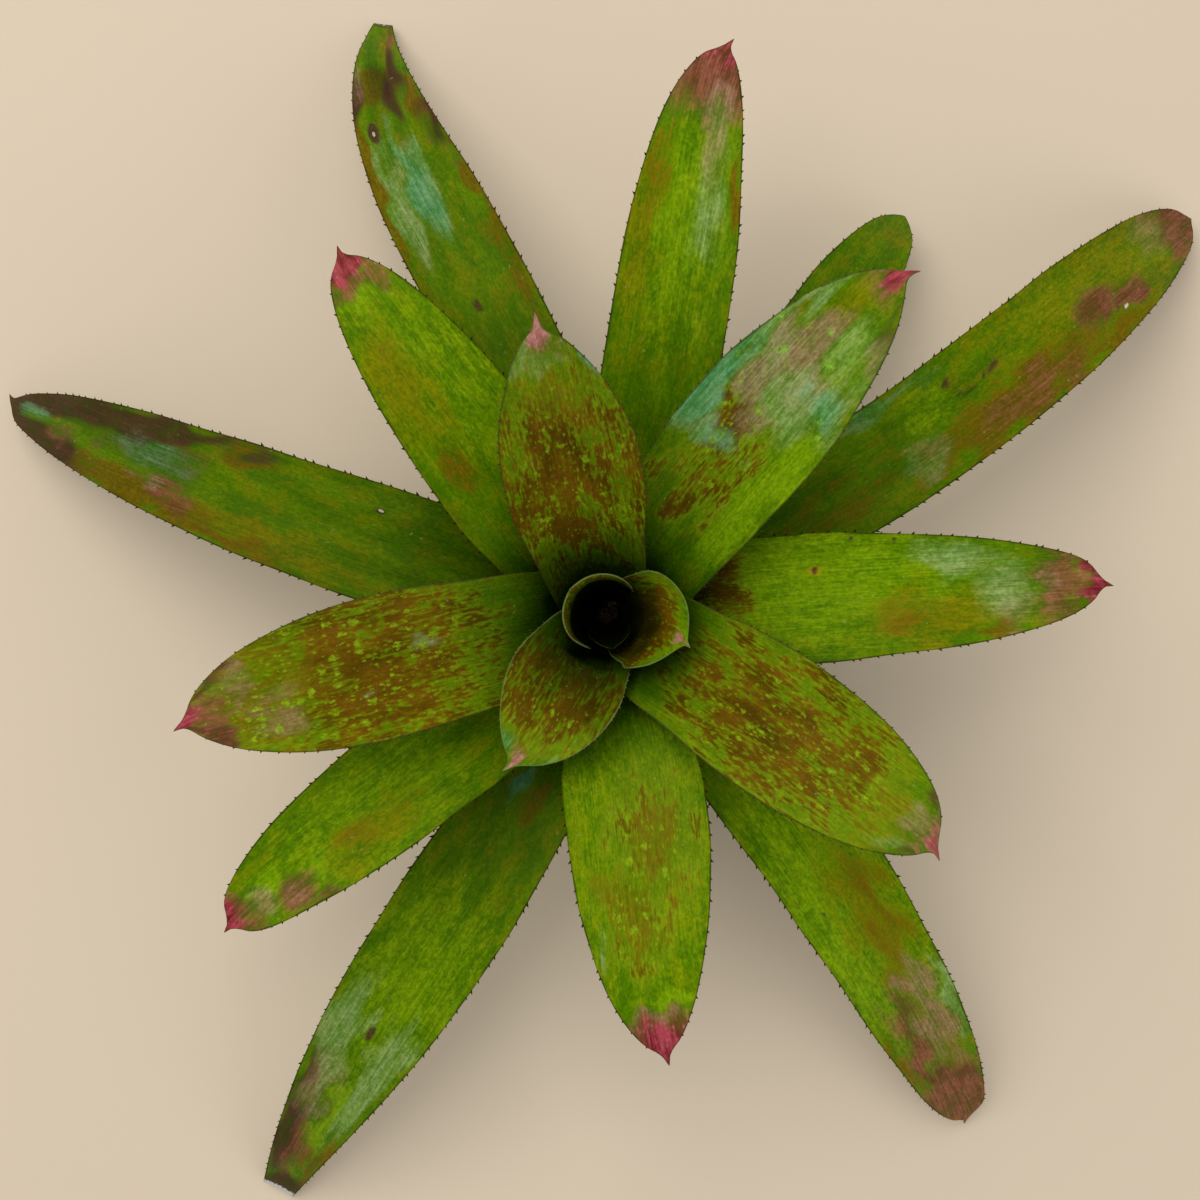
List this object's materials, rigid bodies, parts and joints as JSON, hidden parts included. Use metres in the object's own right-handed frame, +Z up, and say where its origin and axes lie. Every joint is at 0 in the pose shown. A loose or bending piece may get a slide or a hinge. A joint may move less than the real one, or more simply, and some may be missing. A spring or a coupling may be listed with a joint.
{
  "type": "neoregelia bromeliad",
  "caption": "Bare-rooted tank bromeliad: a rosette of toothed, spine-tipped strap leaves rolled into a central cup, on a short cut stem, standing on a surface.",
  "frame": {"origin": "the middle of the stem's flat cut base, on the surface that the plant stands on", "axes": "+Z up along the stem; +X towards the middle leaf that points east in plan, and +Y a quarter turn anticlockwise from it"},
  "size_m": [0.4185, 0.4158, 0.1615],
  "materials": {
    "heart_leaf": "satin",
    "inner_leaf": "satin",
    "middle_leaf": "satin",
    "outer_leaf": "satin",
    "stem": "matte"
  },
  "bodies": {
    "root": {"stem": "stem", "heart_leaf_1": "heart_leaf", "heart_leaf_2": "heart_leaf", "heart_leaf_3": "heart_leaf", "heart_leaf_4": "heart_leaf", "inner_leaf_1": "inner_leaf", "inner_leaf_2": "inner_leaf", "inner_leaf_3": "inner_leaf", "inner_leaf_4": "inner_leaf", "middle_leaf_1": "middle_leaf", "middle_leaf_2": "middle_leaf", "middle_leaf_3": "middle_leaf", "middle_leaf_4": "middle_leaf", "middle_leaf_5": "middle_leaf", "outer_leaf_1": "outer_leaf", "outer_leaf_2": "outer_leaf", "outer_leaf_3": "outer_leaf", "outer_leaf_4": "outer_leaf", "outer_leaf_5": "outer_leaf", "outer_leaf_6": "outer_leaf"}
  },
  "joints": []
}
